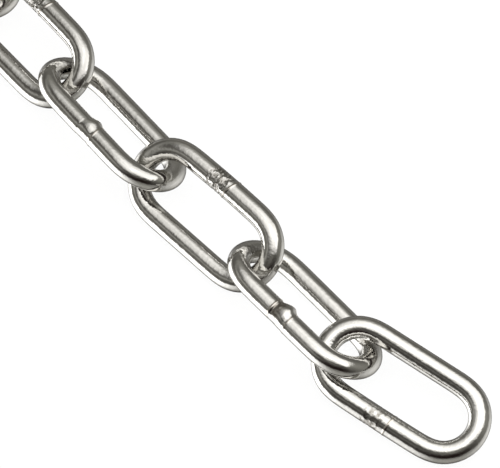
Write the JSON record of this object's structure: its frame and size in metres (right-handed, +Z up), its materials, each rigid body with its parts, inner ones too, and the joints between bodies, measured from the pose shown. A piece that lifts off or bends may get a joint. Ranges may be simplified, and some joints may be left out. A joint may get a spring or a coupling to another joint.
{
  "type": "long-link steel chain",
  "caption": "Short cut of welded long-link chain in polished stainless round bar, laid out straight with its links leaning by turns",
  "frame": {"origin": "on the floor, under the middle of the bounding box of the chain as it lies", "axes": "+X along the run toward the free end that dips to the floor, +Y across the run, +Z up"},
  "size_m": [0.3072, 0.043, 0.0236],
  "materials": {
    "polished_stainless": "bright polished stainless bar, fine drawing lines, grip marks and a raised ring at each weld"
  },
  "bodies": {
    "link_1": {"link_1": "polished_stainless"},
    "link_2": {"link_2": "polished_stainless"},
    "link_3": {"link_3": "polished_stainless"},
    "link_4": {"link_4": "polished_stainless"},
    "link_5": {"link_5": "polished_stainless"},
    "link_6": {"link_6": "polished_stainless"}
  },
  "joints": [
    {"name": "swing_2", "type": "hinge", "parent": "link_3", "child": "link_2", "pos_m": [0.05513, -0.00376, 0.0117], "axis": [-0.0049, 0.5592, 0.829], "range_deg": [-70, 70]},
    {"name": "swing_1", "type": "hinge", "parent": "link_2", "child": "link_1", "pos_m": [0.10593, -0.00392, 0.01099], "axis": [0.1465, -0.2634, 0.9535], "range_deg": [-35, 70]},
    {"name": "swing_4", "type": "hinge", "parent": "link_3", "child": "link_4", "pos_m": [-0.00473, -0.00795, 0.0117], "axis": [0.0098, 0.5591, 0.829], "range_deg": [-70, 70]},
    {"name": "swing_5", "type": "hinge", "parent": "link_4", "child": "link_5", "pos_m": [-0.05502, -0.00607, 0.01099], "axis": [0, -0.5592, 0.829], "range_deg": [-70, 70]},
    {"name": "swing_6", "type": "hinge", "parent": "link_5", "child": "link_6", "pos_m": [-0.10602, -0.00627, 0.01099], "axis": [-0.0372, 0.2991, 0.9535], "range_deg": [-70, 70]}
  ]
}
